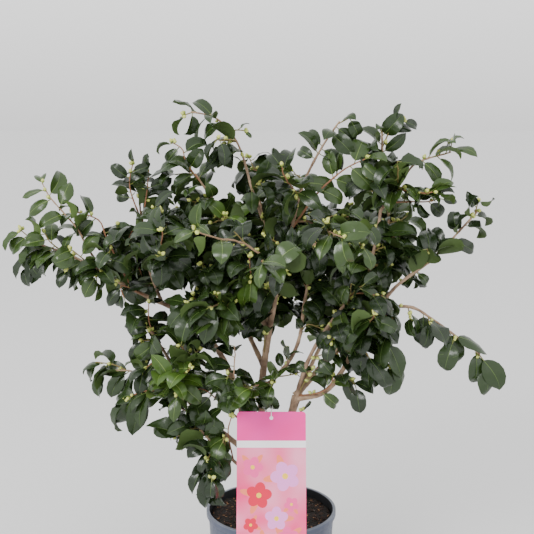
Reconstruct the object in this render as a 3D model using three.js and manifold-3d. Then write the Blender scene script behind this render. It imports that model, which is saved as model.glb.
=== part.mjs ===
// Camellia shrub in a plastic nursery pot, with the hanging card that it is sold with.
// Millimetres, +Z up. The origin is the middle of the pot's flat underside; the front faces -Y.
import * as THREE from 'three';
import { mergeVertices } from 'three/addons/utils/BufferGeometryUtils.js';
import Module from 'manifold-3d';

const wasm = await Module();
wasm.setup();

// ---- driving dimensions -------------------------------------------------------------------

const POT_HEIGHT = 185;
const POT_RIM_RADIUS = 110;
const POT_BASE_RADIUS = 95;
const POT_WALL = 2.2;
const POT_FLOOR = 3;
const LIP_HEIGHT = 11;
const LIP_PROUD = 3;
const POT_SIDES = 32;
const DRAIN_HOLES = 6;
const DRAIN_RADIUS = 7;
const DRAIN_CIRCLE = 72;

const SOIL_TOP = 171;
const SOIL_CALM_RADIUS = 58;
const SOIL_RELIEF = 3.5;
const SOIL_PATCH = 18;

const SEAT_GAP = 0.3;
const CUT_GAP = 0.5;

const CARD_WIDTH = 111;
const CARD_LENGTH = 240;
const CARD_THICKNESS = 0.8;
const CARD_CORNER = 5;
const CARD_TOP = 371;
const CARD_TOP_DEPTH = -57;
const CARD_HOLE_RADIUS = 3;
const CARD_HOLE_DROP = 10;
const TIE_RADIUS = 0.8;
const TIE_STEPS = 24;
const TIE_SWEEP = 10;

// ---- finishes -----------------------------------------------------------------------------

const POT_FINISH = { color: 0x66708a, roughness: 0.45, metalness: 0 };
const SOIL_FINISH = { color: 0x2a211b, roughness: 0.95, metalness: 0 };
const BARK_FINISH = { color: 0x92806a, roughness: 0.8, metalness: 0 };
const LEAF_FINISH = { color: 0x3d4a2c, roughness: 0.4, metalness: 0 };
const CARD_FINISH = { color: 0xe87fa6, roughness: 0.35, metalness: 0 };
const TIE_FINISH = { color: 0xf2f2ee, roughness: 0.5, metalness: 0 };

const shrub = new THREE.Group();

function place(name, geometry, finish) {
  geometry.computeVertexNormals();
  const piece = new THREE.Mesh(geometry, new THREE.MeshStandardMaterial(finish));
  piece.name = name;
  shrub.add(piece);
}

// ---- closed meshes as solids, for cutting and joining -------------------------------------

function weld(geometry) {
  geometry.deleteAttribute('normal');
  geometry.deleteAttribute('uv');
  return mergeVertices(geometry, 1e-3);
}

function toSolid(geometry) {
  const vertProperties = new Float32Array(geometry.attributes.position.array);
  const triVerts = new Uint32Array(geometry.index.array);
  return new wasm.Manifold(new wasm.Mesh({ numProp: 3, vertProperties, triVerts }));
}

function toGeometry(solid) {
  const { vertProperties, triVerts } = solid.getMesh();
  const geometry = new THREE.BufferGeometry();
  geometry.setAttribute('position', new THREE.BufferAttribute(vertProperties, 3));
  geometry.setIndex(new THREE.BufferAttribute(triVerts, 1));
  return geometry;
}

function boxesMeet(one, other) {
  const a = one.boundingBox();
  const b = other.boundingBox();
  return [0, 1, 2].every((k) => a.min[k] < b.max[k] && b.min[k] < a.max[k]);
}

// Cuts away every neighbour that comes near, and keeps the largest piece that is left.
function cutRound(solid, neighbours) {
  const near = neighbours.filter((other) => boxesMeet(solid, other));
  const rest = near.reduce((left, other) => left.subtract(other), solid);
  const pieces = rest.decompose();
  return pieces.reduce((best, next) => (next.volume() > best.volume() ? next : best));
}

// ---- repeatable unevenness ----------------------------------------------------------------

function seededNumbers(seed) {
  let state = seed * 7919 + 17;
  return () => {
    state = (state * 16807) % 2147483647;
    return state / 2147483647;
  };
}

// A smooth bumpy function of direction, between about -1 and 1.
function unevenness(seed) {
  const next = seededNumbers(seed);
  const waves = Array.from({ length: 4 }, () => ({
    axis: new THREE.Vector3(next() - 0.5, next() - 0.5, next() - 0.5).normalize(),
    beat: 2.5 + 3 * next(),
    phase: 6.28 * next(),
  }));
  return (direction) => {
    const heights = waves.map((w) => Math.sin(w.beat * w.axis.dot(direction) + w.phase));
    return heights.reduce((sum, h) => sum + h, 0) / waves.length;
  };
}

// ---- pot: thin walled, slightly tapered, with a rolled lip and drain holes in its floor ---

function wallAt(z) {
  return THREE.MathUtils.mapLinear(z, 0, POT_HEIGHT, POT_BASE_RADIUS, POT_RIM_RADIUS - LIP_PROUD);
}

function latheRoundZ(profile) {
  const outline = profile.map(([r, z]) => new THREE.Vector2(r, z));
  return new THREE.LatheGeometry(outline, POT_SIDES).rotateX(Math.PI / 2);
}

function potShell() {
  const lipFoot = POT_HEIGHT - LIP_HEIGHT;
  const profile = [
    [0, 0],
    [POT_BASE_RADIUS - 2, 0],
    [POT_BASE_RADIUS, 2],
    [wallAt(lipFoot), lipFoot],
    [POT_RIM_RADIUS - 0.8, lipFoot + 1.2],
    [POT_RIM_RADIUS, POT_HEIGHT - 1.2],
    [POT_RIM_RADIUS - 1, POT_HEIGHT],
    [wallAt(POT_HEIGHT) - POT_WALL, POT_HEIGHT],
    [wallAt(POT_FLOOR) - POT_WALL, POT_FLOOR],
    [0, POT_FLOOR],
  ];
  return toSolid(weld(latheRoundZ(profile)));
}

function drainHole(index) {
  const turn = (2 * Math.PI * (index + 0.5)) / DRAIN_HOLES;
  const hole = new THREE.CylinderGeometry(DRAIN_RADIUS, DRAIN_RADIUS, 4 * POT_FLOOR, 8);
  hole.rotateX(Math.PI / 2);
  hole.translate(DRAIN_CIRCLE * Math.cos(turn), DRAIN_CIRCLE * Math.sin(turn), 0);
  return toSolid(weld(hole));
}

function pot() {
  const holes = Array.from({ length: DRAIN_HOLES }, (_, index) => drainHole(index));
  return toGeometry(cutRound(potShell(), holes));
}

place('pot', pot(), POT_FINISH);

// ---- soil: fills the pot to just under its rim, level round the stems and uneven outside --

function soil() {
  const inner = (z) => wallAt(z) - POT_WALL - SEAT_GAP;
  const foot = POT_FLOOR + SEAT_GAP;
  const shoulder = SOIL_TOP - 8;
  const edge = inner(SOIL_TOP) - 1;
  const rings = [edge, (edge + SOIL_CALM_RADIUS) / 2, SOIL_CALM_RADIUS, 0];
  const sides = [[0, foot], [inner(foot), foot], [inner(shoulder), shoulder]];
  const body = weld(latheRoundZ([...sides, ...rings.map((r) => [r, SOIL_TOP])]));
  const bump = unevenness(5);
  const position = body.attributes.position;
  for (let i = 0; i < position.count; i += 1) {
    const [x, y] = [position.getX(i), position.getY(i)];
    const onTop = position.getZ(i) > shoulder + 1;
    if (onTop && Math.hypot(x, y) > SOIL_CALM_RADIUS + 1) {
      const patch = new THREE.Vector3(x, y, 0).divideScalar(SOIL_PATCH);
      position.setZ(i, SOIL_TOP + SOIL_RELIEF * bump(patch));
    }
  }
  return body;
}

place('soil', soil(), SOIL_FINISH);

// ---- limbs: closed cylinders bent along curves, thinner towards the tip -------------------

const LIMB_SIDES = 6;
const LIMB_STEP = 42;
const FLARE_REACH = 26;

function turnedOut(geometry) {
  if (toSolid(geometry).volume() > 0) {
    return geometry;
  }
  const index = geometry.index;
  for (let i = 0; i < index.count; i += 3) {
    const first = index.getX(i);
    index.setX(i, index.getX(i + 1));
    index.setX(i + 1, first);
  }
  return geometry;
}

// Moves the points of a straight rod, or of a flat ring, to their places along a curve.
function bend(geometry, curve, steps, closed, locate) {
  const frames = curve.computeFrenetFrames(steps, closed);
  const position = geometry.attributes.position;
  const spot = new THREE.Vector3();
  for (let i = 0; i < position.count; i += 1) {
    const { step, out, side } = locate(spot.fromBufferAttribute(position, i));
    const centre = curve.getPointAt(step / steps);
    centre.addScaledVector(frames.normals[step], out);
    centre.addScaledVector(frames.binormals[step], side);
    position.setXYZ(i, centre.x, centre.y, centre.z);
  }
  return geometry;
}

function flattenFoot(geometry, level) {
  const position = geometry.attributes.position;
  for (let i = 0; i < position.count; i += 1) {
    if (position.getZ(i) < SOIL_TOP + LIMB_STEP / 4) {
      position.setZ(i, level);
    }
  }
}

const limbs = new Map();

function limbSolid({ curve, base, tip, flare }, extra) {
  const length = curve.getLength();
  const steps = Math.max(4, Math.round(length / LIMB_STEP));
  const rod = weld(new THREE.CylinderGeometry(1, 1, 1, LIMB_SIDES, steps));
  bend(rod, curve, steps, false, (spot) => {
    const step = Math.round((spot.y + 0.5) * steps);
    const along = step / steps;
    const foot = flare * Math.exp((-along * length) / FLARE_REACH);
    const radius = THREE.MathUtils.lerp(base, tip, along ** 0.8) + foot + extra;
    return { step, out: radius * spot.x, side: radius * spot.z };
  });
  if (flare > 0) {
    flattenFoot(rod, SOIL_TOP + SEAT_GAP - extra);
  }
  return toSolid(turnedOut(rod));
}

// A stem stands on the soil; a bough grows from a point part of the way up its parent.
function grow(name, { from, via, base, tip, into = null, flare = 0 }) {
  const start = typeof from[0] === 'string'
    ? limbs.get(from[0]).curve.getPointAt(from[1])
    : new THREE.Vector3(...from);
  const points = [start, ...via.map((p) => new THREE.Vector3(...p))];
  const curve = new THREE.CatmullRomCurve3(points, false, 'centripetal');
  limbs.set(name, { name, curve, base, tip, into, flare });
}

// Stems, from a flat cut at the soil to their fork.
const FOOT = SOIL_TOP + SEAT_GAP;
grow('stem_centre', {
  from: [-10, 10, FOOT], via: [[-15, 10, 290], [-15, 10, 400], [-5, 10, 480], [15, 10, 600]],
  base: 7.6, tip: 4.8, flare: 6,
});
grow('stem_right', {
  from: [15, -15, FOOT], via: [[20, -15, 240], [30, -15, 330], [40, -15, 385]], base: 7.2, tip: 6, flare: 5,
});
grow('stem_left', {
  from: [-40, 0, FOOT], via: [[-40, 0, 265], [-55, 5, 375], [-85, 10, 450], [-135, 15, 515]],
  base: 6.6, tip: 4.4, flare: 5,
});

// Boughs on the left.
grow('bough_left_arm', {
  from: ['stem_left', 1], via: [[-200, 10, 545], [-255, 5, 575], [-325, 5, 615], [-385, -5, 640]],
  base: 4.3, tip: 1.6, into: 'leaves_left_arm',
});
grow('bough_left_low', {
  from: ['stem_left', 0.3], via: [[-95, -15, 335], [-140, -25, 385], [-165, -25, 445], [-200, -20, 500]],
  base: 4.8, tip: 2.2, into: 'leaves_left_low',
});
grow('bough_left_hang', {
  from: ['bough_left_low', 0.5], via: [[-185, -15, 405], [-235, -5, 425], [-290, 0, 420]],
  base: 2.6, tip: 1.3, into: 'leaves_left_hang',
});
grow('bough_left_rise', {
  from: ['bough_left_arm', 0.18], via: [[-205, 20, 600], [-215, 30, 665], [-220, 40, 725]],
  base: 2.7, tip: 1.4, into: 'leaves_left_crest',
});
grow('bough_skirt', {
  from: ['stem_left', 0.2], via: [[-70, -30, 285], [-100, -50, 320], [-125, -45, 350]],
  base: 3.2, tip: 1.6, into: 'leaves_skirt_left',
});

// Boughs from the centre stem.
grow('bough_upper_left', {
  from: ['stem_centre', 0.75], via: [[-30, 20, 525], [-45, 30, 605], [-80, 30, 680], [-125, 25, 750]],
  base: 4.2, tip: 1.8, into: 'leaves_upper_left',
});
grow('bough_top', {
  from: ['stem_centre', 1], via: [[5, 20, 625], [-10, 35, 660], [-20, 60, 705]],
  base: 4.4, tip: 2.6, into: 'leaves_heart',
});
grow('bough_top_left', {
  from: ['bough_top', 0.4], via: [[-30, 15, 720], [-55, 10, 800], [-90, 15, 840], [-130, 20, 850]],
  base: 2.8, tip: 1.2, into: 'leaves_top_left_tip',
});
grow('bough_top_right', {
  from: ['stem_centre', 1], via: [[35, 0, 670], [50, 0, 730], [80, 10, 790], [110, 10, 835]],
  base: 3.8, tip: 1.3, into: 'leaves_top_middle',
});
grow('bough_centre_right', {
  from: ['stem_centre', 0.5], via: [[25, -5, 435], [45, -5, 475], [55, 0, 540], [70, 10, 620]],
  base: 4, tip: 2.2, into: 'leaves_centre',
});

// Boughs from the right stem.
grow('bough_right_main', {
  from: ['stem_right', 1],
  via: [[90, 0, 440], [125, 10, 490], [160, 15, 585], [180, 20, 690], [180, 20, 825]],
  base: 5.4, tip: 1.7, into: 'leaves_right_peak',
});
grow('bough_right_outer', {
  from: ['stem_right', 0.97],
  via: [[90, -35, 400], [140, -40, 480], [195, -30, 565], [260, -20, 615], [335, 0, 690]],
  base: 5, tip: 1.5, into: 'leaves_right_tip',
});
grow('bough_right_inner', {
  from: ['stem_right', 0.92], via: [[60, -35, 450], [85, -45, 500], [125, -60, 560]],
  base: 4.2, tip: 2.2, into: 'leaves_right_low',
});
grow('bough_right_arm', {
  from: ['bough_right_outer', 0.5], via: [[225, -45, 540], [260, -50, 520], [335, -50, 465]],
  base: 3, tip: 1.4, into: 'leaves_right_drop',
});
grow('bough_right_spray', {
  from: ['bough_right_main', 0.72], via: [[210, 25, 730], [235, 25, 765], [295, 30, 785]],
  base: 2.6, tip: 1.3, into: 'leaves_right_spray',
});

// Boughs at the back.
grow('bough_back_left', {
  from: ['stem_centre', 0.6], via: [[-45, 70, 480], [-95, 125, 540], [-140, 160, 630]],
  base: 4.4, tip: 2.2, into: 'leaves_rear_left',
});
grow('bough_back', {
  from: ['stem_centre', 0.4], via: [[-10, 80, 440], [-5, 150, 520], [10, 190, 550]],
  base: 4.6, tip: 2.4, into: 'leaves_back_centre',
});
grow('bough_back_right', {
  from: ['stem_right', 0.8], via: [[65, 50, 410], [110, 120, 480], [150, 160, 540]],
  base: 4.6, tip: 2.4, into: 'leaves_right_back',
});

// ---- card: hangs from the centre stem by a tie and leans on the front of the pot's lip -----

function cardTilt() {
  const reach = POT_RIM_RADIUS + CARD_TOP_DEPTH;
  return Math.atan2(reach, CARD_TOP - POT_HEIGHT);
}

function card() {
  const outline = new THREE.Shape();
  const half = CARD_WIDTH / 2;
  const turn = Math.PI / 2;
  outline.absarc(half - CARD_CORNER, -CARD_CORNER, CARD_CORNER, 0, turn);
  outline.absarc(-half + CARD_CORNER, -CARD_CORNER, CARD_CORNER, turn, 2 * turn);
  outline.absarc(-half + CARD_CORNER, CARD_CORNER - CARD_LENGTH, CARD_CORNER, 2 * turn, 3 * turn);
  outline.absarc(half - CARD_CORNER, CARD_CORNER - CARD_LENGTH, CARD_CORNER, 3 * turn, 4 * turn);
  const hole = new THREE.Path();
  hole.absarc(0, -CARD_HOLE_DROP, CARD_HOLE_RADIUS, 0, 4 * turn, true);
  outline.holes.push(hole);
  const sheet = new THREE.ExtrudeGeometry(outline, {
    depth: CARD_THICKNESS, bevelEnabled: false, curveSegments: 3,
  });
  sheet.translate(0, 0, SEAT_GAP);
  sheet.rotateX(Math.PI / 2 - cardTilt());
  sheet.translate(0, CARD_TOP_DEPTH, CARD_TOP);
  return weld(sheet);
}

place('tag_card', card(), CARD_FINISH);

// The tie goes through the card's hole, round the centre stem and back over the card's top.
function tie(extra) {
  const stem = limbs.get('stem_centre').curve;
  const height = CARD_TOP + 8;
  const stemAt = stem.getPointAt((height - FOOT) / stem.getLength());
  const clear = 8.65;
  const rise = CARD_HOLE_RADIUS - TIE_RADIUS - 2.5 * SEAT_GAP;
  const holeDepth = CARD_TOP_DEPTH - CARD_HOLE_DROP * Math.sin(cardTilt());
  const holeHeight = CARD_TOP - CARD_HOLE_DROP * Math.cos(cardTilt());
  const route = [
    [2, CARD_TOP_DEPTH + 7, CARD_TOP + 5],
    [0, CARD_TOP_DEPTH - 4, CARD_TOP + 3],
    [0, holeDepth - 5, holeHeight + 4],
    [0, holeDepth, holeHeight + rise],
    [0, holeDepth + 6, holeHeight + rise - 1],
    [stemAt.x - clear, stemAt.y - 4, height - 4],
    [stemAt.x - 0.7 * clear, stemAt.y + 0.7 * clear, height],
    [stemAt.x + 0.7 * clear, stemAt.y + 0.7 * clear, height + 2],
    [stemAt.x + clear, stemAt.y - 4, height + 2],
  ].map((p) => new THREE.Vector3(...p));
  const curve = new THREE.CatmullRomCurve3(route, true, 'centripetal');
  const ring = weld(new THREE.TorusGeometry(TIE_SWEEP, 1, 5, TIE_STEPS));
  bend(ring, curve, TIE_STEPS, true, (spot) => {
    const turn = Math.atan2(spot.y, spot.x) / (2 * Math.PI);
    const step = (Math.round(turn * TIE_STEPS) + TIE_STEPS) % TIE_STEPS;
    const out = Math.hypot(spot.x, spot.y) - TIE_SWEEP;
    return { step, out: (TIE_RADIUS + extra) * out, side: (TIE_RADIUS + extra) * spot.z };
  });
  return turnedOut(ring);
}

place('tag_tie', tie(0), TIE_FINISH);

// ---- foliage: each mass is one uneven solid, joined from one to four lobes ----------------

// A lobe is [x, y, z, half width, half depth, half height, turn in degrees towards the upper right].
const FOLIAGE = {
  leaves_left_arm: [[-340, 10, 620, 50, 40, 45, 0], [-405, -10, 635, 30, 25, 20, -10],
    [-390, 0, 590, 20, 20, 30, 15], [-370, 15, 695, 20, 25, 45, 20]],
  leaves_left_shoulder: [[-265, 0, 625, 50, 55, 65, 0]],
  leaves_left_crest: [[-220, 40, 730, 35, 50, 40, 15], [-200, 30, 770, 25, 30, 25, 0]],
  leaves_left_heart: [[-175, -70, 650, 50, 75, 70, 0]],
  leaves_top_left_tip: [[-130, 20, 850, 25, 20, 15, -25]],
  leaves_top_left: [[-80, 0, 795, 35, 50, 45, 0]],
  leaves_upper_left: [[-130, 30, 720, 55, 75, 55, 0], [-160, 20, 775, 25, 30, 20, 10]],
  leaves_front_left: [[-85, -150, 675, 55, 75, 55, 0]],
  leaves_rear_left: [[-145, 165, 655, 70, 80, 60, 0], [-235, 130, 590, 65, 80, 70, 0]],
  leaves_left_low: [[-210, -20, 510, 40, 50, 50, 0], [-205, -10, 445, 35, 40, 35, 0],
    [-145, -60, 455, 50, 65, 60, 0]],
  leaves_left_hang: [[-285, 0, 410, 25, 25, 30, 20]],
  leaves_left_foot: [[-220, -30, 370, 30, 40, 55, 0]],
  leaves_skirt_left: [[-130, -40, 350, 45, 55, 55, 0], [-95, -85, 290, 30, 40, 55, 10]],
  leaves_skirt_front: [[-55, -100, 425, 45, 55, 40, 0], [-5, -50, 410, 40, 35, 25, 0],
    [-60, -55, 470, 30, 35, 30, 0]],
  leaves_centre_left: [[-105, -40, 550, 60, 75, 55, 0]],
  leaves_heart: [[-25, 70, 665, 60, 85, 80, 0], [-15, 140, 745, 65, 70, 55, 0]],
  leaves_top_centre: [[30, -20, 745, 60, 65, 45, 0]],
  leaves_front_centre: [[5, -180, 635, 50, 70, 45, 0]],
  leaves_centre: [[75, 10, 655, 55, 85, 75, 0]],
  leaves_back_centre: [[-15, 200, 525, 85, 85, 80, 0]],
  leaves_rear_top: [[55, 245, 640, 75, 60, 70, 0]],
  leaves_rear_right: [[200, 180, 685, 60, 75, 65, 0]],
  leaves_top_middle: [[100, 20, 785, 50, 55, 35, 0], [110, 10, 830, 30, 25, 20, -20]],
  leaves_right_peak: [[180, 20, 830, 30, 40, 40, 0], [220, 20, 835, 25, 25, 20, 10]],
  leaves_upper_right: [[185, 10, 745, 60, 70, 50, 0], [260, -20, 725, 35, 25, 20, 20]],
  leaves_right_spray: [[280, 30, 780, 55, 25, 20, 15]],
  leaves_right_tip: [[335, 0, 690, 20, 25, 40, -35]],
  leaves_right_leafy: [[265, -20, 635, 45, 30, 25, 10], [245, 0, 595, 25, 30, 30, 0]],
  leaves_front_right: [[110, -150, 670, 55, 75, 55, 0]],
  leaves_right_heart: [[195, 60, 640, 60, 85, 75, 0]],
  leaves_right_low: [[150, -60, 550, 55, 75, 60, 0], [90, -70, 510, 30, 30, 25, 20]],
  leaves_right_back: [[135, 160, 490, 75, 85, 70, 0]],
  leaves_right_hem: [[170, -60, 435, 25, 30, 45, 0], [210, -50, 445, 25, 30, 40, 15],
    [120, -50, 435, 50, 45, 40, 0]],
  leaves_right_drop: [[250, -50, 510, 35, 30, 30, -10], [290, -55, 470, 25, 30, 40, 0],
    [340, -50, 440, 25, 30, 45, 10]],
};

const SMALL_LOBE = 50;
const LOBE_UNEVEN = 0.2;
const LOBE_FULLNESS = 1.1;

function lobe([x, y, z, width, depth, height, turn], bump, extra) {
  const small = Math.max(width, height) < SMALL_LOBE;
  const ball = weld(small ? new THREE.OctahedronGeometry(1, 1) : new THREE.IcosahedronGeometry(1, 1));
  const position = ball.attributes.position;
  const direction = new THREE.Vector3();
  for (let i = 0; i < position.count; i += 1) {
    direction.fromBufferAttribute(position, i).normalize();
    const reach = 1 + LOBE_UNEVEN * bump(direction);
    position.setXYZ(i, direction.x * reach, direction.y * reach, direction.z * reach);
  }
  const [a, b, c] = [width, depth, height].map((half) => LOBE_FULLNESS * half + extra);
  ball.scale(a, b, c);
  ball.rotateY(THREE.MathUtils.degToRad(-turn));
  ball.translate(x, y, z);
  return toSolid(ball);
}

function massSolid(name, extra) {
  const seed = Object.keys(FOLIAGE).indexOf(name) + 1;
  const lobes = FOLIAGE[name].map((row, index) => lobe(row, unevenness(seed * 10 + index), extra));
  return lobes.reduce((whole, next) => whole.add(next));
}

// ---- putting limbs and foliage together ---------------------------------------------------

// A limb ends where it enters its own mass, and makes room for the limbs before it.
const limbCutters = [];
for (const limb of limbs.values()) {
  const mass = limb.into ? [massSolid(limb.into, CUT_GAP)] : [];
  const solid = cutRound(limbSolid(limb, 0), [...limbCutters, ...mass]);
  limbCutters.push(cutRound(limbSolid(limb, CUT_GAP), limb.into ? [massSolid(limb.into, 0)] : []));
  place(limb.name, toGeometry(solid), BARK_FINISH);
}

// A mass makes room for the tie, every limb that runs through it and the masses before it.
const massCutters = [toSolid(tie(CUT_GAP))];
for (const name of Object.keys(FOLIAGE)) {
  const solid = cutRound(massSolid(name, 0), [...limbCutters, ...massCutters]);
  massCutters.push(massSolid(name, CUT_GAP));
  place(name, toGeometry(solid), LEAF_FINISH);
}

export default shrub;
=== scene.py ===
import math
import bpy
import numpy as np
from mathutils import Matrix, Vector, noise
from mathutils.bvhtree import BVHTree


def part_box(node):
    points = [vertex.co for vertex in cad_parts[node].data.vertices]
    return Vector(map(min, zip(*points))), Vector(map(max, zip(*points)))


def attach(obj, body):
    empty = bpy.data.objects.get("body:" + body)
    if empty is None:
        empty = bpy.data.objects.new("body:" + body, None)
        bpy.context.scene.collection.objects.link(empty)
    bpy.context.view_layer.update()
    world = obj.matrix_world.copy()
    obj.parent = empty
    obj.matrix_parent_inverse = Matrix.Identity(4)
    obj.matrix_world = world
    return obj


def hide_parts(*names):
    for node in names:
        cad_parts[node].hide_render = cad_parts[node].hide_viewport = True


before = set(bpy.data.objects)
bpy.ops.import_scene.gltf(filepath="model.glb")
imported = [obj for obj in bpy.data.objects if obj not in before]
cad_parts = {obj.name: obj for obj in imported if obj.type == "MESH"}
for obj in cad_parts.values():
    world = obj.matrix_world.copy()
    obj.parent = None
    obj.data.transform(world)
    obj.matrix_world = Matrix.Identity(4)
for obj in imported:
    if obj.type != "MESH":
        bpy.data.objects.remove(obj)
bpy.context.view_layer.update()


# ---- Camera, light and floor --------------------------------------------------------------
# A plain pale floor under soft, even daylight: a broad light from the upper left in front, a
# weaker one from the right, and a pale sky that is brighter overhead and meets the far floor.

def srgb(red, green, blue):
    """A colour as it looks on a screen, 0 to 255, as the linear values that a shader takes."""
    parts = [c / 255 for c in (red, green, blue)]
    linear = [c / 12.92 if c <= 0.04045 else ((c + 0.055) / 1.055) ** 2.4 for c in parts]
    return (*linear, 1.0)


def plain_material(name, colour, roughness):
    material = bpy.data.materials.new(name)
    material.use_nodes = True
    shader = material.node_tree.nodes["Principled BSDF"]
    shader.inputs["Base Color"].default_value = colour
    shader.inputs["Roughness"].default_value = roughness
    return material


def clear_selection():
    bpy.ops.object.select_all(action="DESELECT")


def soft_light(name, place, target, size, power):
    bpy.ops.object.light_add(type="AREA", location=place)
    lamp = bpy.context.object
    lamp.name = name
    lamp.data.size = size
    lamp.data.energy = power
    lamp.rotation_euler = (Vector(target) - Vector(place)).to_track_quat("-Z", "Y").to_euler()


CAMERA_PLACE = (-0.007, -1.5, 0.825)
CAMERA_TILT = math.radians(81.42)
CAMERA_LENS = 62.4
bpy.ops.object.camera_add(location=CAMERA_PLACE, rotation=(CAMERA_TILT, 0, 0))
bpy.context.scene.camera = bpy.context.object
bpy.context.object.data.lens = CAMERA_LENS

soft_light("window_left", (-1.7, -2.2, 2.2), (0, 0, 0.55), 1.1, 62)
soft_light("window_right", (2.4, -1.6, 1.6), (0, 0, 0.5), 1.6, 8)

FLOOR_SIZE = 400
FLOOR_ALBEDO = 0.745
HORIZON = 1.17
OVERHEAD = 1.58
RISE = 0.13
world = bpy.data.worlds.new("pale_room")
bpy.context.scene.world = world
world.use_nodes = True
sky_nodes, sky_links = world.node_tree.nodes, world.node_tree.links
outward = sky_nodes.new("ShaderNodeTexCoord")
height = sky_nodes.new("ShaderNodeSeparateXYZ")
brightness = sky_nodes.new("ShaderNodeMapRange")
brightness.inputs["From Max"].default_value = RISE
brightness.inputs["To Min"].default_value = HORIZON
brightness.inputs["To Max"].default_value = OVERHEAD
sky = sky_nodes["Background"]
sky.inputs["Color"].default_value = (1, 1, 1, 1)
sky_links.new(outward.outputs["Generated"], height.inputs["Vector"])
sky_links.new(height.outputs["Z"], brightness.inputs["Value"])
sky_links.new(brightness.outputs["Result"], sky.inputs["Strength"])

clear_selection()
bpy.ops.mesh.primitive_plane_add(size=FLOOR_SIZE)
floor = bpy.context.object
floor.name = "floor"
floor_colour = (FLOOR_ALBEDO, FLOOR_ALBEDO, FLOOR_ALBEDO, 1)
floor.data.materials.append(plain_material("pale_floor", floor_colour, 1.0))


# ---- Nursery pot --------------------------------------------------------------------------
# A thin wall of blue-grey plastic, injection moulded in one piece: a slight taper, a rolled
# lip with a paler top band and drain holes round the floor; its inside is painted shade.

MM = 0.001


def pick(piece):
    """Makes the piece the only one selected and the active one."""
    clear_selection()
    piece.select_set(True)
    bpy.context.view_layer.objects.active = piece


def face_outward():
    """Turns every face of the piece in edit mode outward, and leaves edit mode."""
    bpy.ops.mesh.select_all(action="SELECT")
    bpy.ops.mesh.normals_make_consistent(inside=False)
    bpy.ops.object.mode_set(mode="OBJECT")


def select_only(piece, mode, chosen):
    """Goes into edit mode with only the chosen points, edges or faces selected."""
    bpy.context.view_layer.objects.active = piece
    bpy.ops.object.mode_set(mode="EDIT")
    bpy.ops.mesh.select_mode(type=mode)
    bpy.ops.mesh.select_all(action="DESELECT")
    bpy.ops.object.mode_set(mode="OBJECT")
    data = piece.data
    parts = {"VERT": data.vertices, "EDGE": data.edges, "FACE": data.polygons}[mode]
    for part in parts:
        part.select = bool(chosen(part))
    bpy.ops.object.mode_set(mode="EDIT")


def apply_modifier(piece, kind, name, **settings):
    modifier = piece.modifiers.new(name, kind)
    for key, value in settings.items():
        setattr(modifier, key, value)
    bpy.context.view_layer.objects.active = piece
    bpy.ops.object.modifier_apply(modifier=name)


def new_nodes(material):
    nodes = material.node_tree.nodes
    return nodes, material.node_tree.links, nodes["Principled BSDF"]


def blotch_group():
    """Noise on object coordinates, stretched and mapped to a mask: shared by every finish."""
    group = bpy.data.node_groups.new("blotches", "ShaderNodeTree")
    face = group.interface
    face.new_socket("Size", in_out="INPUT", socket_type="NodeSocketFloat")
    face.new_socket("Detail", in_out="INPUT", socket_type="NodeSocketFloat")
    face.new_socket("Low", in_out="INPUT", socket_type="NodeSocketFloat")
    face.new_socket("High", in_out="INPUT", socket_type="NodeSocketFloat")
    face.new_socket("Mask", in_out="OUTPUT", socket_type="NodeSocketFloat")
    nodes, links = group.nodes, group.links
    entry = nodes.new("NodeGroupInput")
    leave = nodes.new("NodeGroupOutput")
    place = nodes.new("ShaderNodeTexCoord")
    grain = nodes.new("ShaderNodeTexNoise")
    spread = nodes.new("ShaderNodeMapRange")
    links.new(place.outputs["Object"], grain.inputs["Vector"])
    links.new(entry.outputs["Size"], grain.inputs["Scale"])
    links.new(entry.outputs["Detail"], grain.inputs["Detail"])
    links.new(grain.outputs["Fac"], spread.inputs["Value"])
    links.new(entry.outputs["Low"], spread.inputs["From Min"])
    links.new(entry.outputs["High"], spread.inputs["From Max"])
    links.new(spread.outputs["Result"], leave.inputs["Mask"])
    return group


BLOTCHES = blotch_group()


def blotches(material, size, detail=2.0, low=0.35, high=0.65):
    node = material.node_tree.nodes.new("ShaderNodeGroup")
    node.node_tree = BLOTCHES
    for key, value in zip(("Size", "Detail", "Low", "High"), (size, detail, low, high)):
        node.inputs[key].default_value = value
    return node.outputs["Mask"]


def two_colours(material, mask, dark, light):
    """Lets the base colour go from dark to light as the mask does."""
    nodes, links, shader = new_nodes(material)
    mix = nodes.new("ShaderNodeMix")
    mix.data_type = "RGBA"
    mix.inputs[6].default_value = dark
    mix.inputs[7].default_value = light
    links.new(mask, mix.inputs[0])
    links.new(mix.outputs[2], shader.inputs["Base Color"])


def bumped(material, mask, strength, distance):
    nodes, links, shader = new_nodes(material)
    bump = nodes.new("ShaderNodeBump")
    bump.inputs["Strength"].default_value = strength
    bump.inputs["Distance"].default_value = distance
    links.new(mask, bump.inputs["Height"])
    links.new(bump.outputs["Normal"], shader.inputs["Normal"])


def rough_between(material, mask, low, high):
    nodes, links, shader = new_nodes(material)
    spread = nodes.new("ShaderNodeMapRange")
    spread.inputs["To Min"].default_value = low
    spread.inputs["To Max"].default_value = high
    links.new(mask, spread.inputs["Value"])
    links.new(spread.outputs["Result"], shader.inputs["Roughness"])


def grained(name, colour, roughness, size, relief):
    """A plain colour with a fine relief, for small things whose colours are dealt out."""
    material = plain_material(name, colour, roughness)
    bumped(material, blotches(material, size, 3.0, 0.3, 0.7), relief, 0.0006)
    return material


def pot_plastic(name, dark, light):
    material = plain_material(name, dark, 0.42)
    two_colours(material, blotches(material, 22.0, 4.0), dark, light)
    scuffs = blotches(material, 160.0, 6.0, 0.3, 0.75)
    rough_between(material, scuffs, 0.34, 0.52)
    bumped(material, blotches(material, 900.0, 2.0), 0.12, 0.0004)
    return material


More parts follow.
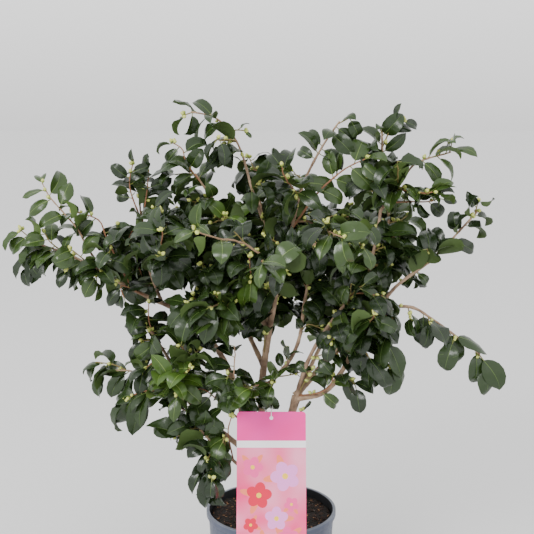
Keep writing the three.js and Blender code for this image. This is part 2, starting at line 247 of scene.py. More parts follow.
POT_SIDES = 96
pot_low, pot_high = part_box("pot")
POT_HEIGHT = pot_high.z
RIM_RADIUS = (pot_high.x - pot_low.x) / 2
BASE_RADIUS = 95 * MM
LIP_HEIGHT = 11 * MM
LIP_PROUD = 3 * MM
WALL = 2.2 * MM
POT_FLOOR = 3 * MM
DRAIN_HOLES = 6
DRAIN_RADIUS = 7 * MM
DRAIN_CIRCLE = 72 * MM
PALE_TOP_BAND = 1.4 * MM


def wall_at(height):
    return BASE_RADIUS + (RIM_RADIUS - LIP_PROUD - BASE_RADIUS) * height / POT_HEIGHT


def turned_shape(name, profile, sides):
    """Starts from a disc and draws its edge up through the profile's rings, then closes it."""
    radius, height = profile[0]
    clear_selection()
    bpy.ops.mesh.primitive_circle_add(
        vertices=sides, radius=radius, fill_type="NGON", location=(0, 0, height))
    piece = bpy.context.object
    piece.name = name
    bpy.ops.object.mode_set(mode="EDIT")
    bpy.ops.mesh.select_all(action="SELECT")
    bpy.ops.mesh.flip_normals()
    bpy.ops.mesh.select_mode(type="EDGE")
    for next_radius, next_height in profile[1:]:
        bpy.ops.mesh.extrude_edges_move(
            TRANSFORM_OT_translate={"value": (0, 0, next_height - height)})
        scale = next_radius / radius
        bpy.ops.transform.resize(value=(scale, scale, 1), center_override=(0, 0, next_height))
        radius, height = next_radius, next_height
    bpy.ops.mesh.edge_face_add()
    face_outward()
    bpy.ops.object.transform_apply(location=True, rotation=True, scale=True)
    return piece


def lip_curve():
    """The rolled lip in section: out under it, round its edge and back over the rim."""
    lip_foot = POT_HEIGHT - LIP_HEIGHT
    rings = [(wall_at(lip_foot), lip_foot), (RIM_RADIUS - 0.9 * MM, lip_foot + 0.5 * MM)]
    rings += [(RIM_RADIUS, lip_foot + 2 * MM), (RIM_RADIUS, POT_HEIGHT - 1.6 * MM)]
    edge = 1.3 * MM
    for step in range(1, 5):
        turn = step / 5 * math.pi / 2
        rings.append((RIM_RADIUS - edge + edge * math.cos(turn),
                      POT_HEIGHT - edge + edge * math.sin(turn)))
    inner = wall_at(POT_HEIGHT) - WALL
    return rings + [(inner + 0.8 * MM, POT_HEIGHT), (inner, POT_HEIGHT - 0.8 * MM)]


def bore(piece, corners, radius, depth, place, turned=(0, 0, 0)):
    """Cuts a round hole with a plug that is then thrown away."""
    bpy.ops.mesh.primitive_cylinder_add(
        vertices=corners, radius=radius, depth=depth, location=place, rotation=turned)
    plug = bpy.context.object
    apply_modifier(piece, "BOOLEAN", "hole", object=plug, operation="DIFFERENCE")
    bpy.data.objects.remove(plug)


def cut_drain_holes(piece):
    for index in range(DRAIN_HOLES):
        turn = 2 * math.pi * (index + 0.5) / DRAIN_HOLES
        place = (DRAIN_CIRCLE * math.cos(turn), DRAIN_CIRCLE * math.sin(turn), 0)
        bore(piece, 24, DRAIN_RADIUS, 20 * MM, place)


pot_profile = [(BASE_RADIUS - 3 * MM, 0), (BASE_RADIUS - 0.8 * MM, 0.6 * MM), (BASE_RADIUS, 3 * MM)]
pot_profile += [(wall_at(h), h) for h in (0.05, 0.1, 0.15)]
pot_profile += lip_curve()
pot_profile += [(wall_at(0.1) - WALL, 0.1), (wall_at(POT_FLOOR) - WALL, POT_FLOOR)]
pot = turned_shape("nursery_pot", pot_profile, POT_SIDES)
cut_drain_holes(pot)
pot.data.materials.append(pot_plastic("blue_grey_plastic", srgb(62, 68, 88), srgb(74, 81, 101)))
# Painted shade: the inside faces get a much darker copy of the plastic for the shadow inside the pot.
pot.data.materials.append(pot_plastic("painted_shade_inside", srgb(24, 26, 30), srgb(34, 36, 40)))
# The lip's topmost band gets a paler copy of the plastic.
pot.data.materials.append(pot_plastic("pale_lip_top", srgb(80, 86, 102), srgb(100, 106, 118)))
# Slot 1, the darker copy, is painted shade on the inside faces; slot 2 is the lip's paler top band.
for face in pot.data.polygons:
    radius = math.hypot(face.center.x, face.center.y)
    on_edge = face.center.z > POT_HEIGHT - PALE_TOP_BAND
    is_inner = radius < wall_at(face.center.z) - WALL / 2 and face.center.z > POT_FLOOR / 2
    face.material_index = 2 if on_edge else int(is_inner)
pick(pot)
bpy.ops.object.shade_smooth_by_angle(angle=math.radians(35))
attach(pot, "root")
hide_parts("pot")


# ---- Compost ------------------------------------------------------------------------------
# Moist dark peat and composted bark, filled to just under the rim: a crumbly top with bark
# chips lying on it and pale specks of perlite.

def crumbly_material():
    material = plain_material("damp_compost", srgb(26, 20, 16), 0.95)
    crumbs = blotches(material, 260.0, 5.0, 0.35, 0.7)
    two_colours(material, crumbs, srgb(13, 10, 8), srgb(44, 33, 26))
    bumped(material, crumbs, 0.8, 0.002)
    return material


SOIL_TOP = 171 * MM
SOIL_DEPTH = 60 * MM
SOIL_TAPER = 0.96
SOIL_CELLS = 150
SOIL_CALM = 52 * MM
CALM_FADE = 12 * MM
SWELL = 3.2 * MM
SWELLS_IN_METRE = 38
CRUMB = 1.3 * MM
CRUMBS_IN_METRE = 210
soil_edge = wall_at(SOIL_TOP) - WALL - 0.4 * MM


def soil_height(spot):
    """The soil's top at a place: level round the stems, gently uneven outside."""
    calm = min(1.0, max(0.0, (spot.xy.length - SOIL_CALM) / CALM_FADE))
    return SOIL_TOP + SWELL * calm * noise.noise(spot * SWELLS_IN_METRE)


clear_selection()
bpy.ops.mesh.primitive_grid_add(
    x_subdivisions=SOIL_CELLS, y_subdivisions=SOIL_CELLS, size=2 * soil_edge)
compost = bpy.context.object
compost.name = "compost"
select_only(compost, "VERT", lambda point: point.co.xy.length > soil_edge - 0.1 * MM)
bpy.ops.mesh.delete(type="VERT")
bpy.ops.mesh.select_all(action="SELECT")
bpy.ops.mesh.extrude_region_move(TRANSFORM_OT_translate={"value": (0, 0, -SOIL_DEPTH)})
bpy.ops.transform.resize(value=(SOIL_TAPER, SOIL_TAPER, 1), center_override=(0, 0, 0))
bpy.ops.mesh.dissolve_faces()
face_outward()
for point in compost.data.vertices:
    if point.co.z > -1 * MM:
        spot = point.co.copy()
        crumbs = noise.fractal(spot * CRUMBS_IN_METRE, 0.9, 2.0, 3)
        point.co.z = soil_height(spot) + CRUMB * crumbs
    else:
        point.co.z += SOIL_TOP
compost.data.materials.append(crumbly_material())
bpy.ops.object.shade_smooth()
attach(compost, "root")
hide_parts("soil")


FOLD = math.radians(65)


class Pile:
    """The points and faces of many small things, joined into one mesh at the end."""

    def __init__(self):
        self.points = []
        self.faces = []
        self.slots = []
        self.count = 0

    def add(self, points, faces, slots=0):
        self.points.append(np.asarray(points, float).reshape(-1, 3))
        self.faces.extend([tuple(corner + self.count for corner in face) for face in faces])
        self.slots.extend([slots] * len(faces) if isinstance(slots, int) else slots)
        self.count += len(self.points[-1])

    def mesh(self, name, materials, smooth=True):
        """One joined mesh, smooth but for its folds and rims."""
        data = bpy.data.meshes.new(name)
        data.from_pydata(np.concatenate(self.points).tolist(), [], self.faces)
        for material in materials:
            data.materials.append(material)
        data.polygons.foreach_set("material_index", self.slots)
        data.polygons.foreach_set("use_smooth", [smooth] * len(self.faces))
        data.update()
        piece = bpy.data.objects.new(name, data)
        bpy.context.collection.objects.link(piece)
        if smooth:
            pick(piece)
            bpy.ops.object.shade_smooth_by_angle(angle=FOLD)
        return piece


def unit(vector):
    return vector / max(1e-9, float(np.linalg.norm(vector)))


CHIP_ROOM = 4 * MM
CHIP_FACES = [(0, 1, 2), (0, 2, 3), (0, 3, 4), (0, 4, 1), (5, 2, 1), (5, 3, 2), (5, 4, 3), (5, 1, 4)]


def chip(draw, place, length, width, height):
    """A six-pointed sliver, laid down at a random turn."""
    turn, tip = draw.uniform(0, 2 * math.pi), draw.uniform(-0.35, 0.35)
    shape = np.array([(0, 0, 1), (1, 0.2, 0), (0.1, 1, 0.1), (-1, -0.1, 0), (-0.2, -1, 0), (0, 0, -1)])
    shape = shape * (length / 2, width / 2, height / 2) * draw.uniform(0.75, 1.25, (6, 3))
    spin = Matrix.Rotation(turn, 3, "Z") @ Matrix.Rotation(tip, 3, "X")
    return shape @ np.array(spin.transposed()) + place


def on_soil(draw, stand_off):
    """A random place on the soil, as far above it as asked."""
    reach = (soil_edge - CHIP_ROOM) * math.sqrt(draw.uniform(0, 1))
    turn = draw.uniform(0, 2 * math.pi)
    spot = Vector((reach * math.cos(turn), reach * math.sin(turn), 0))
    return np.array((spot.x, spot.y, soil_height(spot) + stand_off))


def scatter(name, count, material, size, seed):
    draw = np.random.default_rng(seed)
    pile = Pile()
    for _ in range(count):
        length = size * draw.uniform(0.5, 1.4)
        place = on_soil(draw, 0.35 * size * draw.uniform(0.1, 0.8))
        shape = chip(draw, place, length, length * draw.uniform(0.3, 0.7), length * 0.3)
        pile.add(shape, CHIP_FACES)
    piece = pile.mesh(name, [material], smooth=False)
    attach(piece, "root")


scatter("bark_chips", 520, grained("wet_bark", srgb(62, 38, 26), 0.8, 500.0, 0.5), 7 * MM, 11)
scatter("pale_chips", 170, grained("dry_bark", srgb(146, 106, 74), 0.8, 500.0, 0.5), 5 * MM, 12)
scatter("perlite", 70, grained("perlite_grain", srgb(205, 200, 190), 0.8, 900.0, 0.5), 2.2 * MM, 13)


# ---- Stems and boughs ---------------------------------------------------------------------
# Three thin skinned tan stems rise from the soil and fork into boughs, with slight ridges, leaf
# scars and a swollen collar where each bough leaves. Routes and girths are those of the solids.

LIMBS = {
    # Where it starts, or the limb it leaves and how far along; its points in mm; its radius at
    # each end in mm; and how far a stem's root flares, in mm.
    "stem_centre": ((-10, 10, 171.3), [(-15, 10, 290), (-15, 10, 400), (-5, 10, 480), (15, 10, 600)],
                    7.6, 4.8, 6),
    "stem_right": ((15, -15, 171.3), [(20, -15, 240), (30, -15, 330), (40, -15, 385)], 7.2, 6, 5),
    "stem_left": ((-40, 0, 171.3), [(-40, 0, 265), (-55, 5, 375), (-85, 10, 450), (-135, 15, 515)],
                  6.6, 4.4, 5),
    "bough_left_arm": (("stem_left", 1),
                       [(-200, 10, 545), (-255, 5, 575), (-325, 5, 615), (-385, -5, 640)], 4.3, 1.6, 0),
    "bough_left_low": (("stem_left", 0.3),
                       [(-95, -15, 335), (-140, -25, 385), (-165, -25, 445), (-200, -20, 500)],
                       4.8, 2.2, 0),
    "bough_left_hang": (("bough_left_low", 0.5), [(-185, -15, 405), (-235, -5, 425), (-290, 0, 420)],
                        2.6, 1.3, 0),
    "bough_left_rise": (("bough_left_arm", 0.18), [(-205, 20, 600), (-215, 30, 665), (-220, 40, 725)],
                        2.7, 1.4, 0),
    "bough_skirt": (("stem_left", 0.2), [(-70, -30, 285), (-100, -50, 320), (-125, -45, 350)],
                    3.2, 1.6, 0),
    "bough_upper_left": (("stem_centre", 0.75),
                         [(-30, 20, 525), (-45, 30, 605), (-80, 30, 680), (-125, 25, 750)], 4.2, 1.8, 0),
    "bough_top": (("stem_centre", 1), [(5, 20, 625), (-10, 35, 660), (-20, 60, 705)], 4.4, 2.6, 0),
    "bough_top_left": (("bough_top", 0.4),
                       [(-30, 15, 720), (-55, 10, 800), (-90, 15, 840), (-130, 20, 850)], 2.8, 1.2, 0),
    "bough_top_right": (("stem_centre", 1), [(35, 0, 670), (50, 0, 730), (80, 10, 790), (110, 10, 835)],
                        3.8, 1.3, 0),
    "bough_centre_right": (("stem_centre", 0.5), [(25, -5, 435), (45, -5, 475), (55, 0, 540), (70, 10, 620)],
                           4, 2.2, 0),
    "bough_right_main": (("stem_right", 1),
                         [(90, 0, 440), (125, 10, 490), (160, 15, 585), (180, 20, 690), (180, 20, 825)],
                         5.4, 1.7, 0),
    "bough_right_outer": (("stem_right", 0.97),
                          [(90, -35, 400), (140, -40, 480), (195, -30, 565), (260, -20, 615),
                           (335, 0, 690)], 5, 1.5, 0),
    "bough_right_inner": (("stem_right", 0.92), [(60, -35, 450), (85, -45, 500), (125, -60, 560)],
                          4.2, 2.2, 0),
    "bough_right_arm": (("bough_right_outer", 0.5), [(225, -45, 540), (260, -50, 520), (335, -50, 465)],
                        3, 1.4, 0),
    "bough_right_spray": (("bough_right_main", 0.72), [(210, 25, 730), (235, 25, 765), (295, 30, 785)],
                          2.6, 1.3, 0),
    "bough_back_left": (("stem_centre", 0.6), [(-45, 70, 480), (-95, 125, 540), (-140, 160, 630)],
                        4.4, 2.2, 0),
    "bough_back": (("stem_centre", 0.4), [(-10, 80, 440), (-5, 150, 520), (10, 190, 550)], 4.6, 2.4, 0),
    "bough_back_right": (("stem_right", 0.8), [(65, 50, 410), (110, 120, 480), (150, 160, 540)],
                         4.6, 2.4, 0),
}


def between(t, start, end, leave, arrive):
    """A place on the curve from start to end that leaves and arrives along the given ways."""
    return ((2 * t**3 - 3 * t**2 + 1) * start + (t**3 - 2 * t**2 + t) * leave
            + (3 * t**2 - 2 * t**3) * end + (t**3 - t**2) * arrive)


def smooth_route(points, spacing):
    """A centripetal curve through the points, walked in even steps."""
    ends = [2 * points[0] - points[1], *points, 2 * points[-1] - points[-2]]
    fine = []
    for p0, p1, p2, p3 in zip(ends, ends[1:], ends[2:], ends[3:]):
        k0, k1, k2 = (math.sqrt(float(np.linalg.norm(b - a))) for a, b in ((p0, p1), (p1, p2), (p2, p3)))
        leave = k1 * ((p1 - p0) / k0 - (p2 - p0) / (k0 + k1) + (p2 - p1) / k1)
        arrive = k1 * ((p2 - p1) / k1 - (p3 - p1) / (k1 + k2) + (p3 - p2) / k2)
        for t in np.linspace(0, 1, 24, endpoint=False):
            fine.append(between(t, p1, p2, leave, arrive))
    fine = np.array([*fine, points[-1]])
    walked = np.concatenate([[0], np.cumsum(np.linalg.norm(np.diff(fine, axis=0), axis=1))])
    even = np.linspace(0, walked[-1], max(3, round(walked[-1] / spacing) + 1))
    return np.stack([np.interp(even, walked, fine[:, k]) for k in range(3)], axis=1)


STEP = 3 * MM
routes = {}
for name, (start, via, *_) in LIMBS.items():
    if isinstance(start[0], str):
        parent = routes[start[0]]
        first = parent[round(start[1] * (len(parent) - 1))]
    else:
        first = np.array(start) * MM
    routes[name] = smooth_route([first, *(np.array(p) * MM for p in via)], STEP)


WELD = 0.01 * MM


def round_line(name, points, radii, closed=False):
    """A round tube along the points, as thick at each as its radius says, made into a mesh."""
    line = bpy.data.curves.new(name, "CURVE")
    line.dimensions = "3D"
    line.bevel_depth = 1
    line.bevel_resolution = 4
    line.use_fill_caps = not closed
    strand = line.splines.new("POLY")
    strand.points.add(len(points) - 1)
    strand.use_cyclic_u = closed
    for knot, place, radius in zip(strand.points, points, radii):
        knot.co = (*place, 1)
        knot.radius = radius
    piece = bpy.data.objects.new(name, line)
    bpy.context.collection.objects.link(piece)
    pick(piece)
    bpy.ops.object.convert(target="MESH")
    bpy.ops.object.mode_set(mode="EDIT")
    bpy.ops.mesh.select_all(action="SELECT")
    bpy.ops.mesh.remove_doubles(threshold=WELD)
    face_outward()
    return bpy.context.object


SCAR_SWELL = 0.09
SCAR_REACH = 2.4 * MM
FLARE_REACH = 26 * MM
COLLAR_REACH = 7 * MM
COLLAR_SHARE = 0.35


def limb_radii(name):
    """The limb's taper with its flare or collar, and a swollen ring at each old leaf scar."""
    _, _, base, tip, flare = LIMBS[name]
    along = np.linspace(0, 1, len(routes[name]))
    walked = np.arange(len(along)) * STEP
    collar = flare if flare else COLLAR_SHARE * base
    reach = FLARE_REACH if flare else COLLAR_REACH
    smooth = base + (tip - base) * along**0.8 + collar * np.exp(-walked / reach)
    draw = np.random.default_rng(len(name) + 7 * len(along))
    scars = np.cumsum(draw.uniform(16, 40, 60)) * MM
    nearest = np.abs(walked[:, None] - scars[None, :]).min(axis=1)
    return MM * smooth * (1 + SCAR_SWELL * np.exp(-(nearest / SCAR_REACH) ** 2))


def roughened(piece, name, grain_size, strength):
    """Pushes the surface in and out by a cloudy noise, for relief that is really there."""
    grain = bpy.data.textures.new(name, "CLOUDS")
    grain.noise_scale = grain_size
    grain.noise_depth = 3
    apply_modifier(piece, "DISPLACE", name, texture=grain, texture_coords="LOCAL",
                   strength=strength, mid_level=0.5)


def bark_material():
    material = plain_material("tan_bark", srgb(150, 128, 104), 0.78)
    patches = blotches(material, 48.0, 6.0, 0.36, 0.66)
    two_colours(material, patches, srgb(112, 88, 70), srgb(178, 150, 124))
    bumped(material, blotches(material, 520.0, 5.0, 0.3, 0.7), 0.5, 0.001)
    return material


strands = [round_line(name, routes[name], limb_radii(name)) for name in LIMBS]
clear_selection()
for strand in strands:
    strand.select_set(True)
bpy.context.view_layer.objects.active = strands[0]
bpy.ops.object.join()
limbs = strands[0]
limbs.name = "stems_and_boughs"
roughened(limbs, "bark_swelling", 14 * MM, 1.3 * MM)
roughened(limbs, "bark_grain", 3.5 * MM, 0.7 * MM)
limbs.data.materials.append(bark_material())
bpy.ops.object.shade_smooth()
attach(limbs, "root")
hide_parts(*LIMBS)


# ---- Hanging card -------------------------------------------------------------------------
# A thin printed plastic card with rounded corners and a punched hole: a deep pink head, a white
# band and a clouded pink field with simple blossoms. It hangs from a stem and leans on the lip.

CARD_WIDTH = 111 * MM
CARD_LENGTH = 240 * MM
CARD_TOP = Vector((0, -57 * MM, 371 * MM))
CARD_LEAN = math.atan2(RIM_RADIUS + CARD_TOP.y, CARD_TOP.z - POT_HEIGHT)
CARD_OFF = 0.3 * MM
CARD_THICK = 0.8 * MM
CARD_CORNER = 5 * MM
HOLE_DOWN = 10 * MM
HOLE_RADIUS = 3 * MM
HEAD_FOOT = -46 * MM
BAND_FOOT = -57 * MM
hang = Matrix.Translation(CARD_TOP) @ Matrix.Rotation(-CARD_LEAN, 4, "X")


def printed_plastic(name, dark, light):
    material = plain_material(name, dark, 0.35)
    two_colours(material, blotches(material, 18.0, 1.0, 0.3, 0.7), dark, light)
    bumped(material, blotches(material, 60.0, 2.0), 0.05, 0.0006)
    return material


def upright_edge(edge):
    ends = [card.data.vertices[index].co for index in edge.vertices]
    return (ends[0].xz - ends[1].xz).length < CARD_THICK / 2


clear_selection()
bpy.ops.mesh.primitive_cube_add(size=1)
card = bpy.context.object
card.name = "hanging_card"
bpy.ops.object.mode_set(mode="EDIT")
bpy.ops.transform.resize(value=(CARD_WIDTH, CARD_THICK, CARD_LENGTH))
bpy.ops.transform.translate(value=(0, -CARD_OFF - CARD_THICK / 2, -CARD_LENGTH / 2))
bpy.ops.object.mode_set(mode="OBJECT")
select_only(card, "EDGE", upright_edge)
bpy.ops.mesh.bevel(offset=CARD_CORNER, segments=6, affect="EDGES")
for level in (HEAD_FOOT, BAND_FOOT):
    bpy.ops.mesh.select_all(action="SELECT")
    bpy.ops.mesh.bisect(plane_co=(0, 0, level), plane_no=(0, 0, 1))
bpy.ops.object.mode_set(mode="OBJECT")
bore(card, 32, HOLE_RADIUS, 12 * MM, (0, 0, -HOLE_DOWN), (math.pi / 2, 0, 0))
for name, dark, light in (("card_white", srgb(246, 242, 246), srgb(254, 250, 252)),
                          ("print_pink", srgb(252, 34, 150), srgb(255, 56, 168)),
                          ("print_pale_pink", srgb(255, 62, 130), srgb(255, 156, 190))):
    card.data.materials.append(printed_plastic(name, dark, light))
for face in card.data.polygons:
    if face.normal.y < -0.5:
        face.material_index = 1 if face.center.z > HEAD_FOOT else 2 if face.center.z < BAND_FOOT else 0
card.data.transform(hang)
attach(card, "root")
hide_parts("tag_card")


def on_print(pile, outline, level, slot):
    """A thin flat shape lying on the card's printed side."""
    count = len(outline)
    faces = [tuple(reversed(range(count))), tuple(range(count, 2 * count))]
    faces += [(i, (i + 1) % count, count + (i + 1) % count, count + i) for i in range(count)]
    fronts = [-CARD_OFF - CARD_THICK - height for height in (0, level)]
    pile.add([(x, front, z) for front in fronts for x, z in outline], faces, slot)


def oval(x, z, length, width, aim, corners):
    """An oval outline that starts at a point and reaches out along its aim."""
    outline = []
    for turn in np.linspace(0, 2 * math.pi, corners, endpoint=False):
        out = length / 2 * (1 + math.cos(turn))
        side = width / 2 * math.sin(turn)
        outline.append((x + out * math.cos(aim) - side * math.sin(aim),
                        z + out * math.sin(aim) + side * math.cos(aim)))
    return outline


INK = 0.05 * MM
# Each blossom's place on the card and its size, in mm, and its tone.
BLOSSOMS = ((-30, -88, 17, 0), (22, -102, 24, 1), (-20, -132, 21, 2), (32, -146, 12, 0),
            (8, -168, 19, 1), (-33, -178, 12, 2), (26, -198, 18, 0), (-14, -212, 18, 1))
ink = Pile()
for number, (x, z, size, tone) in enumerate(BLOSSOMS):
    for blade in (0.9, 2.3):
        outline = oval(x * MM, z * MM, 1.5 * size * MM, 0.5 * size * MM, blade + number, 12)
        on_print(ink, outline, INK, 4)
    for petal in range(5):
        aim = 0.7 * number + petal * 2 * math.pi / 5
        outline = oval(x * MM, z * MM, size * MM, 0.82 * size * MM, aim, 16)
        on_print(ink, outline, INK * (1.3 + 0.2 * petal), tone)
    heart = oval((x - 0.2 * size) * MM, z * MM, 0.4 * size * MM, 0.4 * size * MM, 0, 12)
    on_print(ink, heart, INK * 2.4, 3)
PRINTS = {
    "print_rose": srgb(255, 84, 158),
    "print_lilac": srgb(246, 150, 226),
    "print_crimson": srgb(228, 8, 62),
    "print_yellow": srgb(255, 208, 60),
    "print_leaf": srgb(255, 132, 96),
}
prints = [plain_material(name, colour, 0.35) for name, colour in PRINTS.items()]
blossoms = ink.mesh("card_blossoms", prints, smooth=False)
blossoms.data.transform(hang)
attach(blossoms, "root")


# ---- Card's tie ---------------------------------------------------------------------------
# A thin white plastic tie: it comes up through the card's hole, goes round the centre stem and
# closes on itself above the card's top edge.

def closed_route(points, spacing):
    """One round of a smooth loop through the points."""
    walk = smooth_route([*points[-3:], *points, *points[:3]], spacing)
    starts = np.linalg.norm(walk - points[0], axis=1)
    middle = len(walk) // 2
    return walk[int(np.argmin(starts[:middle])):middle + int(np.argmin(starts[middle:]))]


TIE_RADIUS = 0.8 * MM
GRIP = 8.65 * MM
stem_walk = routes["stem_centre"]
wrap = stem_walk[int(np.argmin(np.abs(stem_walk[:, 2] - 379 * MM)))]
tie_points = [(2, -50, 376), (0, -61, 374), (0, -64.7, 365.4), (0, -59.7, 362.9), (0, -53.7, 361.9)]
tie_points = [np.array(point) * MM for point in tie_points]
for side, back, level in ((-1, -4, 375), (-0.7, 6.05, 379), (0.7, 6.05, 381), (1, -4, 381)):
    tie_points.append(np.array((wrap[0] + side * GRIP, wrap[1] + back * MM, level * MM)))
loop = closed_route(tie_points, 1.5 * MM)
tie = round_line("white_tie", loop, [TIE_RADIUS] * len(loop), closed=True)
tie.data.materials.append(grained("white_plastic", srgb(240, 240, 236), 0.4, 300.0, 0.15))
bpy.ops.object.shade_smooth()
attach(tie, "root")
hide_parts("tag_tie")


# ---- Twigs --------------------------------------------------------------------------------
# Young growth, brown where it thickens and green at its ends. The outermost sprigs are routed one
# by one. A seeded rule spreads the other shoots just under the surface of each mass of foliage
# and joins each to the nearest wood that can bear it.

MASSES = sorted(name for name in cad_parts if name.startswith("leaves_"))
SPRIGS = (
    # Limb, how far along it the sprig leaves, its points in mm, then its leaves: how many, how
    # long in mm, how much they hang, and how open they lie to the front.
    ("bough_left_arm", 1, [(-405, -10, 660)], 10, 48, 0.9, 0.6),
    ("bough_left_arm", 0.95, [(-395, -10, 620), (-395, -10, 605)], 5, 42, 1, 0.8),
    ("bough_left_arm", 0.85, [(-360, -15, 645), (-365, -15, 655)], 5, 42, 0.6, 0.8),
    ("bough_left_arm", 0.75, [(-330, -15, 600)], 5, 42, 0.9, 0.7),
    ("bough_left_arm", 0.65, [(-310, -20, 620), (-320, -25, 630)], 5, 42, 0.6, 0.9),
    ("bough_left_arm", 0.55, [(-300, 0, 630), (-315, 0, 660), (-335, 0, 685), (-360, 0, 715),
                              (-370, 0, 735)], 9, 40, 0.5, 0.7),
    ("bough_left_arm", 0.4, [(-270, 0, 650), (-280, 0, 675), (-320, 0, 690)], 7, 36, 0.6, 0.8),
    ("bough_left_arm", 0.6, [(-285, -10, 580)], 4, 38, 0.7, 0.8),
    ("bough_left_arm", 0.3, [(-245, -15, 570), (-240, -15, 550)], 4, 34, 0.7, 0.8),
    ("bough_left_rise", 0.75, [(-230, 10, 725), (-230, 10, 745), (-225, 10, 765)], 7, 32, 0.3, 0.7),
    ("bough_left_rise", 0.7, [(-205, 20, 715), (-200, 20, 755)], 4, 36, 0.1, 0.8),
    ("bough_upper_left", 0.95, [(-140, 20, 770), (-145, 20, 790), (-160, 20, 800)], 6, 40, 0.6, 0.7),
    ("bough_top_left", 1, [(-140, 20, 845)], 7, 44, 1, 0.6),
    ("bough_top_left", 0.7, [(-60, 15, 820), (-45, 15, 820)], 2, 18, 0.4, 0.6),
    ("bough_top_right", 1, [(125, 5, 840)], 10, 44, 0.9, 0.7),
    ("bough_top_right", 0.25, [(75, 0, 720), (95, -5, 740), (120, -5, 760), (150, -10, 775)],
     9, 44, 0.6, 0.9),
    ("bough_right_main", 1, [(175, 5, 820)], 8, 40, 0, 0.8),
    ("bough_right_main", 0.95, [(195, 10, 825), (210, 10, 835)], 3, 36, 0.3, 0.6),
    ("bough_right_spray", 1, [(295, 25, 800)], 7, 44, 0.6, 0.5),
    ("bough_right_main", 0.75, [(230, 10, 705), (255, 10, 705), (275, 10, 710)], 6, 36, 0.3, 0.7),
    ("bough_right_outer", 1, [(335, 0, 705)], 8, 38, 0.4, 0.7),
    ("bough_right_outer", 0.2, [(120, -55, 430), (135, -60, 415)], 4, 46, 0.8, 0.9),
    ("bough_right_outer", 0.35, [(150, -60, 470), (165, -70, 450)], 5, 46, 0.9, 0.9),
    ("bough_right_outer", 0.7, [(235, 0, 585)], 4, 32, 0.6, 0.7),
    ("bough_right_arm", 1, [(345, -50, 450)], 3, 56, 0.8, 1),
    ("bough_right_arm", 0.75, [(290, -60, 490)], 3, 56, 0.9, 1),
    ("bough_right_arm", 0.45, [(250, -60, 520)], 3, 50, 0.7, 1),
    ("bough_right_arm", 0.25, [(220, -60, 530)], 2, 44, 0.5, 0.9),
    ("bough_right_arm", 0.1, [(195, -45, 525), (185, -45, 495)], 4, 46, 0.8, 0.9),
    ("bough_right_arm", 0.05, [(185, -55, 495), (185, -55, 470), (190, -55, 450)], 5, 58, 1.2, 0.9),
    ("bough_right_main", 0.1, [(130, -45, 480), (140, -45, 465)], 5, 40, 0.9, 0.9),
    ("stem_right", 1, [(80, -45, 400), (95, -45, 410), (100, -45, 425)], 4, 36, 0.5, 0.8),
    ("stem_right", 0.85, [(50, -35, 365)], 1, 32, 0.2, 0.5),
    ("bough_left_hang", 0.7, [(-260, -5, 435), (-290, -5, 440)], 7, 46, 1, 0.5),
    ("bough_left_hang", 0.1, [(-195, -35, 400), (-220, -35, 395), (-240, -35, 380)], 7, 58, 1.5, 0.8),
    ("bough_left_low", 0.2, [(-115, -45, 360), (-140, -45, 370), (-160, -45, 375)], 4, 34, 0.6, 0.8),
    ("bough_left_low", 0.5, [(-150, -60, 420), (-150, -70, 405)], 5, 46, 0.8, 0.9),
    ("bough_left_low", 0.75, [(-190, -50, 450), (-205, -60, 440)], 4, 46, 0.8, 0.9),
    ("bough_left_low", 0.95, [(-200, -15, 510), (-200, -15, 540)], 6, 42, 0.8, 0.8),
    ("bough_left_low", 0.9, [(-195, -20, 480), (-210, -20, 480)], 4, 46, 0.9, 0.7),
    ("bough_skirt", 1, [(-130, -50, 350)], 5, 44, 0.6, 0.9),
    ("bough_skirt", 0.6, [(-110, -50, 310), (-110, -55, 285), (-115, -55, 265)], 8, 46, 0.8, 0.9),
    ("bough_skirt", 0.5, [(-75, -60, 330), (-80, -65, 315), (-80, -65, 290)], 5, 40, 0.8, 0.9),
    ("bough_skirt", 0.3, [(-70, -55, 340), (-65, -55, 360)], 3, 36, 0.6, 0.8),
    ("stem_left", 0.45, [(-80, -45, 380), (-110, -45, 405), (-120, -45, 405)], 6, 42, 0.6, 0.9),
    ("stem_left", 0.55, [(-45, -40, 390), (-30, -40, 390)], 6, 36, 0.4, 0.8),
    ("stem_centre", 0.4, [(-20, -30, 385)], 3, 46, 0.2, 0.9),
    ("stem_centre", 0.6, [(-10, 0, 485)], 2, 32, 0.4, 0.6),
    ("bough_centre_right", 0.5, [(60, -10, 505), (80, -15, 500)], 5, 28, 0.4, 0.7),
    ("bough_centre_right", 0.15, [(35, -10, 420), (50, -10, 425)], 3, 28, 0.3, 0.7),
    ("bough_centre_right", 0.3, [(25, -5, 445), (25, -5, 460)], 5, 32, 0.3, 0.7),
    ("bough_right_inner", 0.1, [(65, -40, 435)], 3, 34, 0.5, 0.7),
    ("bough_right_inner", 0.4, [(90, -60, 470)], 3, 36, 0.8, 0.8),
    ("bough_right_inner", 0.75, [(105, -70, 520), (95, -80, 495)], 4, 42, 0.8, 0.9),
)


def cross_frames(centres):
    """Two directions across the route at each of its points, carried along without twist."""
    ahead = np.gradient(centres, axis=0)
    ahead /= np.linalg.norm(ahead, axis=1)[:, None]
    across = unit(np.cross(ahead[0], (0.31, 0.92, 0.21)))
    sides = []
    for direction in ahead:
        across = unit(across - direction * np.dot(across, direction))
        sides.append((across, np.cross(direction, across)))
    return sides


